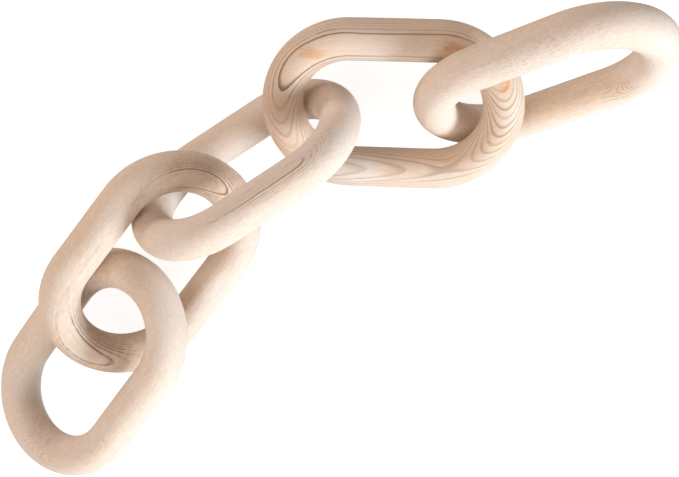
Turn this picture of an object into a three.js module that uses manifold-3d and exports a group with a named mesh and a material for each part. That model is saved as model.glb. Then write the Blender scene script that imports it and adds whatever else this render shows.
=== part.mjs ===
// A wooden chain of five closed links, whittled from one stick of pine.
// It lies loose on a table: links 1, 3 and 5 touch the table, links 2 and 4 ride on their neighbours.
// Millimetres, +Z up. The table top is z = 0 and the origin is under the middle of the chain.

import * as THREE from 'three';
import { mergeVertices } from 'three/addons/utils/BufferGeometryUtils.js';
import Module from 'manifold-3d';

// Driving dimensions of a link
const linkLength = 126; // outside, end to end
const linkWidth = 85; // outside, across both legs
const rodDiameter = 20;
const flatDepth = 0.4; // how much the table side is worn flat where a link touches down

// Fineness of the faceted rod
const sidesRound = 20; // facets round the rod
const stepsPerBend = 22; // rings along each half-round end

// How each link lies.
// x, y: its centre, before the chain is centred on the origin
// lift: how far its lowest point is above the table
// heading: direction of its length, turned from +X towards +Y
// rise: how far its leading end is tipped up
// lean: how far its plane is rolled over about its length
const linkPoses = {
  link_1: { x: -145, y: -73.5, lift: -flatDepth, heading: 51.5, rise: 13.5, lean: -17.5 },
  link_2: { x: -112.5, y: -24, lift: 1.9, heading: 51.5, rise: 5, lean: 33 },
  link_3: { x: -65.5, y: 24, lift: -flatDepth, heading: 33.5, rise: -3.5, lean: -53 },
  link_4: { x: 6, y: 53.5, lift: 10.4, heading: -2, rise: 1, lean: 27.5 },
  link_5: { x: 75.5, y: 64, lift: -flatDepth, heading: 17.5, rise: 25.5, lean: 68 },
};

// Worked out from the driving dimensions
const rodRadius = rodDiameter / 2;
const bendRadius = (linkWidth - rodDiameter) / 2; // of the rod's centre line
const legLength = linkLength - linkWidth; // the straight stretch between the bends
const facetedRadius = rodRadius / Math.sqrt(Math.sin(2 * Math.PI / sidesRound) / (2 * Math.PI / sidesRound));
const tableSize = 600;
const tableThickness = 40;

const wasm = await Module();
wasm.setup();

// The centre line of a link: two straight legs along X joined by two half circles.
// Its parameter runs evenly over the rings of the rod: one step along a leg, stepsPerBend round a bend.
class LinkCentreLine extends THREE.Curve {
  getPoint(t, target = new THREE.Vector3()) {
    const stepsPerHalf = stepsPerBend + 1;
    const step = t * 2 * stepsPerHalf;
    const side = step < stepsPerHalf ? 1 : -1; // the second half is the first one turned by 180 degrees
    const stepInHalf = side > 0 ? step : step - stepsPerHalf;
    if (stepInHalf < 1) {
      return target.set(side * (stepInHalf - 0.5) * legLength, -side * bendRadius, 0);
    }
    const turn = (stepInHalf - 1) / stepsPerBend * Math.PI - Math.PI / 2;
    const x = legLength / 2 + bendRadius * Math.cos(turn);
    return target.set(side * x, side * bendRadius * Math.sin(turn), 0);
  }

  getUtoTmapping(u) {
    return u; // rings follow the parameter, not the arc length
  }
}

function linkGeometry() {
  const ringCount = 2 * (stepsPerBend + 1);
  return new THREE.TubeGeometry(new LinkCentreLine(), ringCount, facetedRadius, sidesRound, true);
}

function toManifold(geometry) {
  const plain = geometry.clone();
  plain.deleteAttribute('normal');
  plain.deleteAttribute('uv');
  const merged = mergeVertices(plain);
  return new wasm.Manifold(new wasm.Mesh({
    numProp: 3,
    vertProperties: Float32Array.from(merged.attributes.position.array),
    triVerts: Uint32Array.from(merged.index.array),
  }));
}

function toGeometry(solid) {
  const mesh = solid.getMesh();
  const geometry = new THREE.BufferGeometry();
  geometry.setAttribute('position', new THREE.BufferAttribute(mesh.vertProperties, 3));
  geometry.setIndex(new THREE.BufferAttribute(mesh.triVerts, 1));
  geometry.computeVertexNormals();
  return geometry;
}

// The height of a turned link's centre that puts its lowest point at the wanted lift
function centreHeight(rotation, lift) {
  const length = new THREE.Vector3(1, 0, 0).applyEuler(rotation);
  const width = new THREE.Vector3(0, 1, 0).applyEuler(rotation);
  return legLength / 2 * Math.abs(length.z) + bendRadius * Math.hypot(length.z, width.z) + rodRadius + lift;
}

function pineMaterial() {
  return new THREE.MeshStandardMaterial({ color: 0xdcc2a2, roughness: 0.75, metalness: 0 });
}

function makeLink(name, pose) {
  const link = new THREE.Mesh(linkGeometry(), pineMaterial());
  link.name = name;
  link.rotation.set(
    THREE.MathUtils.degToRad(pose.lean),
    THREE.MathUtils.degToRad(-pose.rise),
    THREE.MathUtils.degToRad(pose.heading),
    'ZYX',
  );
  link.position.set(pose.x, pose.y, centreHeight(link.rotation, pose.lift));
  link.updateMatrix();
  return link;
}

// Cuts away what would sink into the table, which leaves a small flat spot
function flattenOnTable(link) {
  const table = new THREE.BoxGeometry(tableSize, tableSize, tableThickness);
  table.translate(0, 0, -tableThickness / 2);
  table.applyMatrix4(link.matrix.clone().invert());
  const flattened = toManifold(link.geometry).subtract(toManifold(table));
  link.geometry = toGeometry(flattened);
}

const chain = new THREE.Group();
chain.name = 'wooden_chain';
for (const [name, pose] of Object.entries(linkPoses)) {
  const link = makeLink(name, pose);
  if (pose.lift < 0) {
    flattenOnTable(link);
  }
  chain.add(link);
}

// Centres the chain over the origin
chain.updateMatrixWorld(true);
const middle = new THREE.Box3().setFromObject(chain, true).getCenter(new THREE.Vector3());
chain.position.set(-middle.x, -middle.y, 0);
chain.updateMatrixWorld(true);

export default chain;
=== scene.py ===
import math
import bpy
from mathutils import Euler, Matrix, Vector, noise


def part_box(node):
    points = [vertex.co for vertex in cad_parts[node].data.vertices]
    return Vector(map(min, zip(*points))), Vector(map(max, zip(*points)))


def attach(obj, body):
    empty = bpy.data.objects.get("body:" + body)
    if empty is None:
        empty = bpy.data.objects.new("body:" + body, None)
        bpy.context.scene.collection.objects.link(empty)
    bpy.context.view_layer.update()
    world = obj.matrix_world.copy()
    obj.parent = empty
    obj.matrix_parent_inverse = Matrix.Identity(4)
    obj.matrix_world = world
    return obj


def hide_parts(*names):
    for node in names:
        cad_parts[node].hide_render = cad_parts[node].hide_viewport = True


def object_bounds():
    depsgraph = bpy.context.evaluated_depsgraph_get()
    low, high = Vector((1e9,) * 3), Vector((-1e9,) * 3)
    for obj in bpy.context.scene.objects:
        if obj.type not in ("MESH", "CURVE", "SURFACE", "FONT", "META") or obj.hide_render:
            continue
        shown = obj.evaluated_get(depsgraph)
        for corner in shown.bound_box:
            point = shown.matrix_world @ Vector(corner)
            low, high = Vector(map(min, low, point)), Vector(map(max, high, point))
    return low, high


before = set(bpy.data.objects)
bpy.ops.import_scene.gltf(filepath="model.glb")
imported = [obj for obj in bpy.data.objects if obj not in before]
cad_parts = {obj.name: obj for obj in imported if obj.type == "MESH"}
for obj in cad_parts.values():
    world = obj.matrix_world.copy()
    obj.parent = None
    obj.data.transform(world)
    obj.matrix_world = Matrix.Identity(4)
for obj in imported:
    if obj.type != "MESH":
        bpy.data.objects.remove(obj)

scene = bpy.context.scene
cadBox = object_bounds()
print("frame loaded")


# lengths in the dictionaries are millimetres in a link's own frame:
# x along the link, y across it, z out of its plane
mm = 0.001

linkShape = {
    "rodRadius": 10.0,
    "bendRadius": 32.5,     # of the rod's centre line
    "legLength": 41.0,      # straight stretch between the bends
    "around": 72,           # vertices round the rod
    "along": 300,           # rings of vertices along the link
    "handRelief": 0.14,     # how far sanding went below the round section
    "reliefSize": 17.0,     # width of one shallow dip
}


def centreLine(share):
    # place on the link's centre line and the outward direction there, share runs 0 to 1 round the link
    bend = linkShape["bendRadius"]
    leg = linkShape["legLength"]
    halfLoop = leg + math.pi * bend
    travel = share * 2 * halfLoop
    side = 1 if travel < halfLoop else -1
    travel -= 0 if side > 0 else halfLoop
    if travel < leg:
        return Vector((side * (travel - leg / 2), -side * bend, 0)), Vector((0, -side, 0))
    turn = (travel - leg) / bend - math.pi / 2
    outward = Vector((side * math.cos(turn), side * math.sin(turn), 0))
    return Vector((side * leg / 2, 0, 0)) + outward * bend, outward


def linkMatrix(node, pose):
    # the CAD box gives the centre: its sides are even about x and y, its top is never cut flat
    turn = Euler([math.radians(pose[k]) for k in ("lean", "tip", "heading")], "XYZ").to_matrix()
    alongUp, acrossUp = abs(turn[2][0]), math.hypot(turn[2][0], turn[2][1])
    halfHeight = linkShape["legLength"] / 2 * alongUp + linkShape["bendRadius"] * acrossUp
    low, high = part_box(node)
    centre = (low + high) / 2
    centre.z = high.z - (halfHeight + linkShape["rodRadius"]) * mm
    return Matrix.Translation(centre) @ turn.to_4x4() @ Matrix.Scale(mm, 4)


def makeLink(name, node, pose, seed):
    around, along = linkShape["around"], linkShape["along"]
    toWorld = linkMatrix(node, pose)
    points, places, faces = [], [], []
    for i in range(along):
        centre, outward = centreLine(i / along)
        for j in range(around):
            angle = 2 * math.pi * j / around
            normal = outward * math.cos(angle) + Vector((0, 0, math.sin(angle)))
            spot = (centre + normal * linkShape["rodRadius"]) / linkShape["reliefSize"]
            dip = 0.5 + 0.5 * noise.noise(spot + Vector((seed * 7.3, 0, 0)))
            place = centre + normal * (linkShape["rodRadius"] - linkShape["handRelief"] * dip)
            world = toWorld @ place
            world.z = max(world.z, cadBox[0][2])  # flat spot on the table
            points.append(world)
            places.append(place)
            a = i * around + j
            b = i * around + (j + 1) % around
            c = ((i + 1) % along) * around + (j + 1) % around
            d = ((i + 1) % along) * around + j
            faces.append((a, d, c, b))
    mesh = bpy.data.meshes.new(name)
    mesh.from_pydata(points, [], faces)
    grain = mesh.attributes.new("grainPlace", "FLOAT_VECTOR", "POINT")
    for k, place in enumerate(places):
        grain.data[k].vector = place
    mesh.polygons.foreach_set("use_smooth", [True] * len(faces))
    mesh.update()
    piece = bpy.data.objects.new(name, mesh)
    scene.collection.objects.link(piece)
    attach(piece, "root")
    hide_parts(node)
    return piece


# shader helpers
def newGroup(name, inputs, outputs):
    group = bpy.data.node_groups.new(name, "ShaderNodeTree")
    for label, kind, value in inputs:
        socket = group.interface.new_socket(label, in_out="INPUT", socket_type="NodeSocket" + kind)
        if value is not None:
            socket.default_value = value
    for label, kind in outputs:
        group.interface.new_socket(label, in_out="OUTPUT", socket_type="NodeSocket" + kind)
    return group, group.nodes.new("NodeGroupInput"), group.nodes.new("NodeGroupOutput")


def plug(tree, value, socket):
    if isinstance(value, bpy.types.NodeSocket):
        tree.links.new(value, socket)
    elif value is not None:
        socket.default_value = value


def maths(tree, operation, a, b=None, c=None, clamp=False):
    node = tree.nodes.new("ShaderNodeMath")
    node.operation = operation
    node.use_clamp = clamp
    for socket, value in zip(node.inputs, (a, b, c)):
        plug(tree, value, socket)
    return node.outputs[0]


def vectorMaths(tree, operation, a, b=None, out=0):
    node = tree.nodes.new("ShaderNodeVectorMath")
    node.operation = operation
    plug(tree, a, node.inputs[0])
    plug(tree, b, node.inputs[1])
    return node.outputs[out]


def ramp(tree, value, low, high, toLow=0.0, toHigh=1.0):
    node = tree.nodes.new("ShaderNodeMapRange")
    node.interpolation_type = "SMOOTHSTEP"
    for socket, number in zip(node.inputs, (value, low, high, toLow, toHigh)):
        plug(tree, number, socket)
    return node.outputs["Result"]


def mixColour(tree, share, a, b):
    node = tree.nodes.new("ShaderNodeMix")
    node.data_type = "RGBA"
    node.clamp_factor = True
    plug(tree, share, node.inputs["Factor"])
    plug(tree, a, node.inputs["A"])
    plug(tree, b, node.inputs["B"])
    return node.outputs["Result"]


grainNoise = {  # stretch is cycles per millimetre along x, y and z
    "slowWander": {"stretch": (0.024, 0.05, 0.05), "detail": 2.0, "rough": 0.5, "distort": 0.0},
    "quickWander": {"stretch": (0.11, 0.3, 0.3), "detail": 2.0, "rough": 0.5, "distort": 0.0},
    "lineFading": {"stretch": (0.03, 0.14, 0.14), "detail": 2.0, "rough": 0.5, "distort": 0.0},
    "streak": {"stretch": (0.05, 1.4, 1.4), "detail": 4.0, "rough": 0.6, "distort": 0.0},
    "mottle": {"stretch": (0.3, 0.75, 0.75), "detail": 4.0, "rough": 0.66, "distort": 0.3},
    "dash": {"stretch": (0.55, 2.0, 2.0), "detail": 2.0, "rough": 0.6, "distort": 0.2},
    "fuzz": {"stretch": (1.6, 4.0, 4.0), "detail": 3.0, "rough": 0.7, "distort": 0.0},
    "cloud": {"stretch": (0.022, 0.05, 0.05), "detail": 2.0, "rough": 0.5, "distort": 0.0},
    "raggedEdge": {"stretch": (0.1, 0.5, 0.5), "detail": 3.0, "rough": 0.6, "distort": 0.0},
}


def noiseAt(tree, place, kind, shift=None):
    look = grainNoise[kind]
    scaled = vectorMaths(tree, "MULTIPLY", place, look["stretch"])
    if shift is not None:
        scaled = vectorMaths(tree, "ADD", scaled, shift)
    node = tree.nodes.new("ShaderNodeTexNoise")
    plug(tree, scaled, node.inputs["Vector"])
    node.inputs["Scale"].default_value = 1.0
    node.inputs["Detail"].default_value = look["detail"]
    node.inputs["Roughness"].default_value = look["rough"]
    node.inputs["Distortion"].default_value = look["distort"]
    return node.outputs["Fac"]


def seedShift(tree, seed):
    node = tree.nodes.new("ShaderNodeCombineXYZ")
    for k, step in enumerate((3.7, 11.3, 5.9)):
        plug(tree, maths(tree, "MULTIPLY", seed, step), node.inputs[k])
    return node.outputs[0]


ringShape = {
    "kneeSoftness": 28.0,    # square millimetres
    "quickShare": 0.14,      # of the quick wander beside the slow one
    "markedAge": 0.9,        # how far through its year the line at Line At is
    "lateWood": (0.52, 0.88),
    "yearEnd": (1.0, 0.93),
    "yearSpread": 0.6,       # how much the years differ in darkness
    "palestYear": 0.35,
    "fading": (0.32, 0.58),
    "fadedShare": 0.5,
    "markedReach": (0.35, 0.5),  # of a ring's width, round the marked line
    "clearFrom": (0.35, 0.6),    # of a ring's width, above the marked line
}


def ringHeight(group, g, x, y, z):
    # height at which the ring through a point passes straight over the pith
    pithY = maths(group, "MULTIPLY_ADD", x, g["Side Drift"], g["Pith Side"])
    pithZ = maths(group, "MULTIPLY_ADD", x, g["Height Drift"], g["Pith Height"])
    across = maths(group, "POWER", maths(group, "ABSOLUTE", maths(group, "SUBTRACT", y, pithY)), 2.0)
    upward = maths(group, "POWER", maths(group, "ABSOLUTE", maths(group, "SUBTRACT", z, pithZ)), 2.0)
    reach = maths(group, "SQRT", maths(group, "ADD", across, upward))
    side = maths(group, "SIGN", pithZ)
    height = maths(group, "SUBTRACT", pithZ, maths(group, "MULTIPLY", side, reach))
    # beyond Lean From the sheets climb, with a soft knee
    beyond = maths(group, "SUBTRACT", g["Lean From"], y)
    knee = maths(group, "SQRT", maths(group, "MULTIPLY_ADD", beyond, beyond, ringShape["kneeSoftness"]))
    climb = maths(group, "MULTIPLY", maths(group, "ADD", knee, beyond), 0.5)
    steep = maths(group, "MULTIPLY_ADD", x, g["Lean Drift"], g["Lean"])
    return maths(group, "SUBTRACT", height, maths(group, "MULTIPLY", steep, climb)), side


def ringWobble(group, g, shift):
    slow = maths(group, "SUBTRACT", noiseAt(group, g["Place"], "slowWander", shift), 0.5)
    quick = maths(group, "SUBTRACT", noiseAt(group, g["Place"], "quickWander", shift), 0.5)
    both = maths(group, "MULTIPLY_ADD", quick, ringShape["quickShare"], slow)
    return maths(group, "MULTIPLY", both, g["Wander"])


def yearStrength(group, g, age, shift):
    # each year's line has its own darkness, and fades in places
    year = group.nodes.new("ShaderNodeTexWhiteNoise")
    year.noise_dimensions = "2D"
    both = group.nodes.new("ShaderNodeCombineXYZ")
    plug(group, maths(group, "FLOOR", age), both.inputs[0])
    plug(group, g["Seed"], both.inputs[1])
    group.links.new(both.outputs[0], year.inputs["Vector"])
    spread, palest = ringShape["yearSpread"], ringShape["palestYear"]
    strength = maths(group, "MULTIPLY_ADD", year.outputs["Value"], spread, palest)
    fading = noiseAt(group, g["Place"], "lineFading", shift)
    kept = ramp(group, fading, *ringShape["fading"], ringShape["fadedShare"], 1.0)
    return maths(group, "MULTIPLY", strength, kept)


def makeGrowthRings():
    # the year rings of the stick: shells round a pith line, or sheets where the pith is far off
    inputs = [
        ("Place", "Vector", None), ("Pith Side", "Float", 0.0), ("Side Drift", "Float", 0.0),
        ("Pith Height", "Float", 100.0), ("Height Drift", "Float", 0.0), ("Lean", "Float", 0.0),
        ("Lean Drift", "Float", 0.0), ("Lean From", "Float", 0.0), ("Wander", "Float", 0.5),
        ("Line At", "Float", 8.0), ("Ring Width", "Float", 1.2), ("Width Drift", "Float", 0.0),
        ("Above", "Float", 1.0), ("Seed", "Float", 0.0),
    ]
    group, start, end = newGroup("growthRings", inputs, [("Line", "Float"), ("Tone", "Float")])
    g = start.outputs
    split = group.nodes.new("ShaderNodeSeparateXYZ")
    group.links.new(g["Place"], split.inputs[0])
    x, y, z = split.outputs
    shift = seedShift(group, g["Seed"])
    height, side = ringHeight(group, g, x, y, z)
    height = maths(group, "ADD", height, ringWobble(group, g, shift))
    above = maths(group, "SUBTRACT", height, g["Line At"])
    widening = maths(group, "MULTIPLY_ADD", x, g["Width Drift"], 1.0)
    width = maths(group, "MULTIPLY", g["Ring Width"], widening)
    outward = maths(group, "DIVIDE", maths(group, "MULTIPLY", above, side), width)
    age = maths(group, "SUBTRACT", ringShape["markedAge"], outward)
    part = maths(group, "FRACT", age)
    darkening = ramp(group, part, *ringShape["lateWood"])
    late = maths(group, "MULTIPLY", darkening, ramp(group, part, *ringShape["yearEnd"]))
    nearness = maths(group, "DIVIDE", maths(group, "ABSOLUTE", above), width)
    marked = ramp(group, nearness, *ringShape["markedReach"], 1.0, 0.0)
    strength = maths(group, "MAXIMUM", yearStrength(group, g, age, shift), marked)
    clear = ramp(group, maths(group, "DIVIDE", above, width), *ringShape["clearFrom"])
    lost = maths(group, "MULTIPLY", clear, maths(group, "SUBTRACT", 1.0, g["Above"]))
    keep = maths(group, "SUBTRACT", 1.0, lost)
    line = maths(group, "MULTIPLY", maths(group, "MULTIPLY", late, strength), keep)
    tone = maths(group, "MULTIPLY", maths(group, "MULTIPLY", part, part), keep)
    group.links.new(line, end.inputs["Line"])
    group.links.new(tone, end.inputs["Tone"])
    return group


def makeFibre():
    # fibres along the stick, a mottle, short dark dashes and the fuzz that sanding leaves
    fibreRange = {
        "Streak": (0.34, 0.68),
        "Mottle": (0.3, 0.7),
        "Dash": (0.54, 0.68),
        "Cloud": (0.35, 0.65),
    }
    outputs = [(label, "Float") for label in ("Streak", "Mottle", "Dash", "Fuzz", "Cloud")]
    group, start, end = newGroup("woodFibre", [("Place", "Vector", None), ("Seed", "Float", 0.0)], outputs)
    g = start.outputs
    shift = seedShift(group, g["Seed"])
    for label, (low, high) in fibreRange.items():
        found = noiseAt(group, g["Place"], label.lower(), shift)
        group.links.new(ramp(group, found, low, high), end.inputs[label])
    group.links.new(noiseAt(group, g["Place"], "fuzz", shift), end.inputs["Fuzz"])
    return group


def makePatch():
    # a soft patch with ragged ends along the grain; it masks grain figure, stains, and patches of painted
    # shade and painted light
    group, start, end = newGroup(
        "grainStainAndShadePatch",
        [("Place", "Vector", None), ("Centre", "Vector", None), ("Size", "Vector", None)],
        [("Mask", "Float")],
    )
    patchEdge = {"raggedness": 1.1, "solidTo": 0.4, "goneAt": 1.05}  # in shares of the patch's size
    g = start.outputs
    off = vectorMaths(group, "DIVIDE", vectorMaths(group, "SUBTRACT", g["Place"], g["Centre"]), g["Size"])
    ragged = maths(group, "SUBTRACT", noiseAt(group, g["Place"], "raggedEdge"), 0.5)
    distance = vectorMaths(group, "LENGTH", off, out=1)
    reach = maths(group, "MULTIPLY_ADD", ragged, patchEdge["raggedness"], distance)
    mask = ramp(group, reach, patchEdge["solidTo"], patchEdge["goneAt"], 1.0, 0.0)
    group.links.new(mask, end.inputs["Mask"])
    return group


groups = {"rings": makeGrowthRings(), "fibre": makeFibre(), "patch": makePatch()}
print("shader groups built")

pineColours = {
    "early": (0.745, 0.625, 0.545, 1),
    "warm": (0.735, 0.53, 0.365, 1),
    "line": (0.25, 0.12, 0.06, 1),
    "resin": (0.68, 0.33, 0.115, 1),
    # brown of the ring tone and dashes, also painted shade in the brown patches
    "brown": (0.40, 0.22, 0.12, 1),
    # grey tone of the wood's streaks, also painted shade in the grey patches
    "greyToneAndShade": (0.56, 0.44, 0.37, 1),
    # pale of the wood's mottle, also painted light in the pale patches
    "pale": (0.84, 0.73, 0.63, 1),
}


def useGroup(tree, group, values):
    node = tree.nodes.new("ShaderNodeGroup")
    node.node_tree = group
    for label, value in values.items():
        plug(tree, value, node.inputs[label])
    return node.outputs


def patchMask(tree, place, centre, size):
    return useGroup(tree, groups["patch"], {"Place": place, "Centre": centre, "Size": size})["Mask"]


def tint(tree, colour, mask, share, kind):
    return mixColour(tree, maths(tree, "MULTIPLY", mask, share), colour, pineColours[kind])


def deepen(tree, place, start, patches):
    # adds the depth of each patch to a starting value
    value = start
    for centre, size, depth in patches:
        value = maths(tree, "MULTIPLY_ADD", patchMask(tree, place, centre, size), depth, value, clamp=True)
    return value


pineFinish = {
    "cloudWarmth": 0.4,
    "streakShare": 0.2,
    "roughness": 0.58,
    "fuzzRoughness": 0.2,
    "lineRoughness": -0.12,
    "fuzzRelief": 0.6,
    "streakRelief": 0.3,
    "mottleRelief": 0.5,
    "lineRelief": 0.5,
    "bumpStrength": 0.4,
    "bumpDistance": 0.0003,  # metres
    "specular": 0.3,
}


def pineColour(tree, look, place, rings, fibre, lines):
    dashes = deepen(tree, place, look["dashDepth"], look["dashes"])
    warmth = maths(tree, "MULTIPLY_ADD", fibre["Cloud"], pineFinish["cloudWarmth"], look["warmth"], clamp=True)
    colour = mixColour(tree, warmth, pineColours["early"], pineColours["warm"])
    # warm and resin patches are the wood's own colour; the brown and grey patches are partly painted shade,
    # the pale ones partly painted light, and partly the wood's own tone
    for kind, centre, size, depth in look["patches"]:
        colour = tint(tree, colour, patchMask(tree, place, centre, size), depth, kind)
    ringTone = maths(tree, "MULTIPLY", rings["Tone"], lines)
    colour = tint(tree, colour, ringTone, look["ringTone"], "brown")
    colour = tint(tree, colour, fibre["Streak"], pineFinish["streakShare"], "greyToneAndShade")
    colour = tint(tree, colour, fibre["Mottle"], look["mottle"], "pale")
    colour = tint(tree, colour, fibre["Dash"], dashes, "brown")
    return tint(tree, colour, rings["Line"], lines, "line")


def pineRelief(tree, rings, fibre, lines):
    relief = maths(tree, "MULTIPLY", fibre["Fuzz"], pineFinish["fuzzRelief"])
    relief = maths(tree, "MULTIPLY_ADD", fibre["Streak"], pineFinish["streakRelief"], relief)
    relief = maths(tree, "MULTIPLY_ADD", fibre["Mottle"], pineFinish["mottleRelief"], relief)
    lineMask = maths(tree, "MULTIPLY", rings["Line"], lines)
    return maths(tree, "MULTIPLY_ADD", lineMask, pineFinish["lineRelief"], relief)


def makePine(name, look, seed):
    material = bpy.data.materials.new(name)
    material.use_nodes = True
    tree = material.node_tree
    shader = tree.nodes["Principled BSDF"]
    attribute = tree.nodes.new("ShaderNodeAttribute")
    attribute.attribute_name = "grainPlace"
    place = attribute.outputs["Vector"]
    rings = useGroup(tree, groups["rings"], {"Place": place, "Seed": seed, **look["rings"]})
    fibre = useGroup(tree, groups["fibre"], {"Place": place, "Seed": seed})
    lines = deepen(tree, place, look["lineDepth"], look["figure"])
    plug(tree, pineColour(tree, look, place, rings, fibre, lines), shader.inputs["Base Color"])
    rough = maths(tree, "MULTIPLY_ADD", fibre["Fuzz"], pineFinish["fuzzRoughness"], pineFinish["roughness"])
    rough = maths(tree, "MULTIPLY_ADD", rings["Line"], pineFinish["lineRoughness"], rough)
    plug(tree, rough, shader.inputs["Roughness"])
    bump = tree.nodes.new("ShaderNodeBump")
    bump.inputs["Strength"].default_value = pineFinish["bumpStrength"]
    bump.inputs["Distance"].default_value = pineFinish["bumpDistance"]
    plug(tree, pineRelief(tree, rings, fibre, lines), bump.inputs["Height"])
    plug(tree, bump.outputs["Normal"], shader.inputs["Normal"])
    shader.inputs["Specular IOR Level"].default_value = pineFinish["specular"]
    return material


firstLink = {  # lower left in the photo: plain, fine even grain
    "pose": {"heading": 51.5, "tip": -13.5, "lean": -17.5},
    "rings": {
        "Pith Side": -20.0, "Side Drift": 0.1, "Pith Height": 160.0, "Height Drift": 0.4,
        "Wander": 1.2, "Line At": 9.3, "Ring Width": 0.45, "Width Drift": 0.0, "Above": 1.0,
    },
    "lineDepth": 0.06, "ringTone": 0.3, "warmth": 0.05, "mottle": 0.5, "dashDepth": 0.12,
    "figure": [((-46.0, -8.0, 9.0), (16.0, 14.0, 4.0), 0.2)],
    "dashes": [((-18.0, -36.0, 8.6), (6.0, 3.0, 3.0), 0.5)],
    "patches": [
        ("warm", (50.0, 16.0, 8.0), (14.0, 12.0, 9.0), 0.5),
        # pale patch: partly painted light on the inner side, partly paler wood
        ("pale", (-29.0, 20.0, 3.0), (16.0, 10.0, 8.0), 0.9),
        # brown patch: painted shade in the inner bend, partly the wood's darker tone
        ("brown", (-43.0, -5.0, 4.0), (10.0, 14.0, 9.0), 0.32),
        # brown patch: partly painted shade, partly darker wood
        ("brown", (42.0, 18.0, 8.0), (10.0, 8.0, 7.0), 0.28),
    ],
}

secondLink = {  # dark nested lines outside its leading end and inside its trailing one
    "pose": {"heading": 51.5, "tip": -5.0, "lean": 33.0},
    "rings": {
        "Pith Side": 12.0, "Side Drift": 0.03, "Pith Height": 167.0, "Height Drift": -0.6,
        "Wander": 0.6, "Line At": 8.7, "Ring Width": 0.84, "Width Drift": -0.0036, "Above": 0.12,
    },
    "lineDepth": 0.1, "ringTone": 0.6, "warmth": 0.32, "mottle": 0.45, "dashDepth": 0.1,
    "figure": [
        ((56.0, 4.0, 7.5), (26.0, 34.0, 7.5), 0.9),
        ((-44.0, 4.0, 6.5), (22.0, 24.0, 8.0), 0.9),
    ],
    "dashes": [],
    "patches": [
        # pale patch: partly painted light, partly paler wood
        ("pale", (9.0, -26.0, 6.0), (18.0, 9.0, 9.0), 0.9),
        ("resin", (-3.0, -23.5, 5.0), (11.0, 7.0, 8.0), 0.4),
        ("warm", (16.0, -24.0, 6.0), (18.0, 7.0, 8.0), 0.5),
        ("warm", (48.0, 12.0, 9.0), (18.0, 16.0, 5.0), 0.45),
        ("warm", (-46.0, -18.0, 9.0), (10.0, 9.0, 6.0), 0.7),
        # the four patches below: partly painted shade, in the inner bend and near the neighbouring links,
        # partly darker wood
        ("brown", (-42.0, -4.0, 4.0), (10.0, 20.0, 9.0), 0.32),
        ("brown", (56.0, 0.0, 8.0), (12.0, 13.0, 7.0), 0.42),
        ("brown", (-32.0, 26.0, 8.5), (14.0, 12.0, 6.0), 0.2),
        ("greyToneAndShade", (10.0, 32.0, 9.0), (34.0, 9.0, 6.0), 0.3),
    ],
}

thirdLink = {  # the palest one, a close run of lines on the outside of one leg
    "pose": {"heading": 33.5, "tip": 3.5, "lean": -53.0},
    "rings": {
        "Pith Side": 0.0, "Side Drift": 0.0, "Pith Height": -66.0, "Height Drift": 0.0,
        "Wander": 1.3, "Line At": 17.25, "Ring Width": 0.42, "Width Drift": 0.0, "Above": 0.22,
    },
    "lineDepth": 0.05, "ringTone": 0.3, "warmth": 0.0, "mottle": 0.48, "dashDepth": 0.1,
    "figure": [((8.0, -39.5, 7.0), (38.0, 6.0, 5.0), 0.7), ((38.0, -32.0, 7.5), (12.0, 9.0, 4.0), 0.25)],
    "dashes": [],
    "patches": [
        # the two pale patches below: partly painted light, partly paler wood
        ("pale", (50.0, -9.0, 7.0), (12.0, 20.0, 9.0), 0.8),
        ("pale", (-46.0, 0.0, 6.0), (10.0, 12.0, 9.0), 0.9),
        ("warm", (48.0, 14.0, 6.0), (14.0, 14.0, 12.0), 0.4),
    ],
}

fourthLink = {  # the strongest figure: one long dark line, nested curves on both ends
    "pose": {"heading": -2.0, "tip": -1.0, "lean": 27.5},
    "rings": {
        "Pith Side": 30.0, "Side Drift": 0.05, "Pith Height": 400.0, "Height Drift": 0.0,
        "Lean": 0.165, "Lean Drift": 0.0012, "Lean From": 24.0,
        "Wander": 0.7, "Line At": 8.0, "Ring Width": 1.37, "Width Drift": 0.0, "Above": 0.1,
    },
    "lineDepth": 0.42, "ringTone": 0.42, "warmth": 0.36, "mottle": 0.25, "dashDepth": 0.06,
    "figure": [
        ((-42.0, 22.0, 7.5), (34.0, 24.0, 8.0), 0.5),
        ((0.0, 38.5, 8.0), (60.0, 4.0, 3.0), 0.35),
        ((54.0, 0.0, 8.0), (20.0, 26.0, 8.0), 0.25),
    ],
    "dashes": [],
    "patches": [
        ("resin", (27.0, 32.5, 10.0), (6.0, 3.0, 3.0), 0.85),
        ("resin", (-37.5, 28.0, 10.0), (8.5, 3.4, 3.0), 0.8),
        ("resin", (52.0, 15.0, 9.7), (5.0, 5.0, 4.0), 0.7),
        ("warm", (0.0, -24.0, 5.0), (60.0, 9.0, 9.0), 0.6),
        # pale patch: partly painted light on the lower leg, partly paler wood
        ("pale", (-15.0, -30.0, 8.0), (16.0, 9.0, 7.0), 0.8),
        ("pale", (-5.0, 25.0, 6.5), (34.0, 4.0, 4.0), 0.8),
        # brown patch: partly painted shade, partly darker wood
        ("brown", (15.0, 34.6, 9.2), (14.0, 7.0, 5.0), 0.14),
    ],
}

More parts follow.
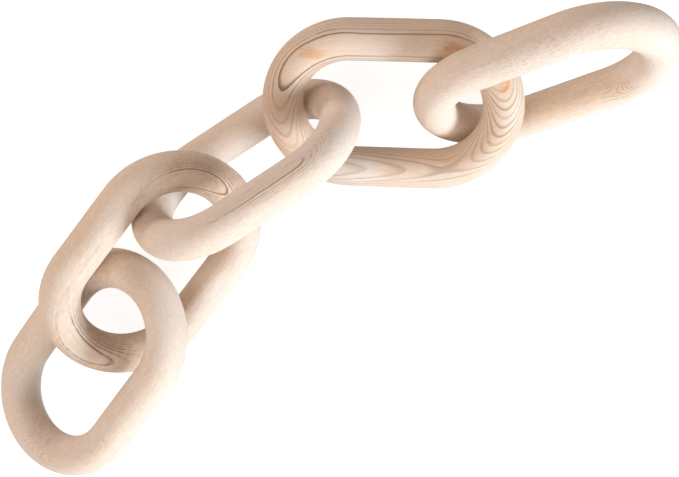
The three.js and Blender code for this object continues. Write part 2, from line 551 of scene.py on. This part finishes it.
fifthLink = {  # upper right in the photo: fuzzy flecks on one leg, orange on the other
    "pose": {"heading": 17.5, "tip": -25.5, "lean": 68.0},
    "rings": {
        "Pith Side": -4.0, "Side Drift": 0.0, "Pith Height": 25.0, "Height Drift": 0.0,
        "Wander": 0.7, "Line At": 5.0, "Ring Width": 0.62, "Width Drift": 0.0, "Above": 1.0,
    },
    "lineDepth": 0.07, "ringTone": 0.35, "warmth": 0.1, "mottle": 0.45, "dashDepth": 0.12,
    "figure": [((30.0, -25.5, 6.0), (14.0, 8.0, 6.0), 0.5)],
    "dashes": [((8.0, 38.0, 6.0), (48.0, 9.0, 7.0), 0.32)],
    "patches": [
        # grey patch: partly painted shade on the upper leg, partly darker wood
        ("greyToneAndShade", (11.0, 33.0, 3.0), (44.0, 14.0, 10.0), 0.28),
        # pale patch: partly painted light, partly paler wood
        ("pale", (-42.0, 0.0, 4.0), (10.0, 16.0, 9.0), 0.6),
        ("warm", (0.0, -26.0, 2.0), (60.0, 8.0, 12.0), 1.0),
        ("warm", (-48.0, -10.0, 2.0), (16.0, 14.0, 12.0), 0.6),
    ],
}

links = [firstLink, secondLink, thirdLink, fourthLink, fifthLink]
for number, look in enumerate(links, 1):
    piece = makeLink(f"pine_link_{number}", f"link_{number}", look["pose"], number)
    piece.data.materials.append(makePine(f"pine{number}", look, number))
    print("link", number, "made")


# studio
studio = {
    "floorSize": 6.0,
    "floorDrop": 0.0002,    # keeps the floor clear of the links' flat spots
    "floorTint": (0.55, 0.545, 0.54, 1),
    "floorRoughness": 0.9,
    "floorSpecular": 0.1,
    "floorWhite": 0.74,     # glow that the camera alone sees
    "skyTint": (1.0, 0.93, 0.86, 1),
    "skyStrength": 0.34,
}


def makeFloor():
    half = studio["floorSize"] / 2
    mesh = bpy.data.meshes.new("floor")
    corners = [(-half, -half, 0), (half, -half, 0), (half, half, 0), (-half, half, 0)]
    mesh.from_pydata(corners, [], [(0, 1, 2, 3)])
    floor = bpy.data.objects.new("floor", mesh)
    scene.collection.objects.link(floor)
    floor.location.z = -studio["floorDrop"]
    paper = bpy.data.materials.new("palePaper")
    paper.use_nodes = True
    tree = paper.node_tree
    shader = tree.nodes["Principled BSDF"]
    shader.inputs["Base Color"].default_value = studio["floorTint"]
    shader.inputs["Roughness"].default_value = studio["floorRoughness"]
    shader.inputs["Specular IOR Level"].default_value = studio["floorSpecular"]
    shader.inputs["Emission Color"].default_value = (1, 1, 1, 1)
    seen = tree.nodes.new("ShaderNodeLightPath").outputs["Is Camera Ray"]
    plug(tree, maths(tree, "MULTIPLY", seen, studio["floorWhite"]), shader.inputs["Emission Strength"])
    mesh.materials.append(paper)


def makeLight(name, look):
    lamp = bpy.data.lights.new(name, "AREA")
    lamp.shape = "RECTANGLE"
    lamp.size, lamp.size_y = look["size"]
    lamp.energy = look["watts"]
    lamp.color = look["tint"]
    thing = bpy.data.objects.new(name, lamp)
    scene.collection.objects.link(thing)
    thing.location = look["at"]
    thing.rotation_euler = (-Vector(look["at"])).to_track_quat("-Z", "Y").to_euler()


lamps = {
    "keyLight": {"at": (1.11, -0.64, 0.42), "size": (0.8, 0.4), "watts": 23.5, "tint": (0.80, 0.90, 1.0)},
    "frontFill": {"at": (-0.32, -1.21, 0.51), "size": (0.8, 0.35), "watts": 6.5, "tint": (1.0, 1.0, 1.0)},
    "sideFill": {"at": (-0.68, 0.00, 1.17), "size": (0.8, 0.8), "watts": 4.5, "tint": (1.0, 0.80, 0.66)},
    "backFill": {"at": (-0.92, 0.92, 0.35), "size": (0.8, 0.35), "watts": 6.1, "tint": (1.0, 0.885, 0.82)},
}

makeFloor()
for name, look in lamps.items():
    makeLight(name, look)
world = bpy.data.worlds.new("studioSky")
world.use_nodes = True
world.node_tree.nodes["Background"].inputs["Color"].default_value = studio["skyTint"]
world.node_tree.nodes["Background"].inputs["Strength"].default_value = studio["skyStrength"]
scene.world = world
scene.view_settings.view_transform = "Standard"
print("studio ready")

view = {
    "lens": 50.6,           # millimetres
    "sensorWidth": 36.0,    # millimetres
    "nearest": 0.01,
    "at": (0.0353, 0.0222, 0.4974),
    "turn": (-1.65, 2.93, 0.06),
}
camera = bpy.data.objects.new("camera", bpy.data.cameras.new("camera"))
scene.collection.objects.link(camera)
camera.data.lens = view["lens"]
camera.data.sensor_width = view["sensorWidth"]
camera.data.clip_start = view["nearest"]
camera.location = view["at"]
camera.rotation_euler = [math.radians(angle) for angle in view["turn"]]
scene.camera = camera
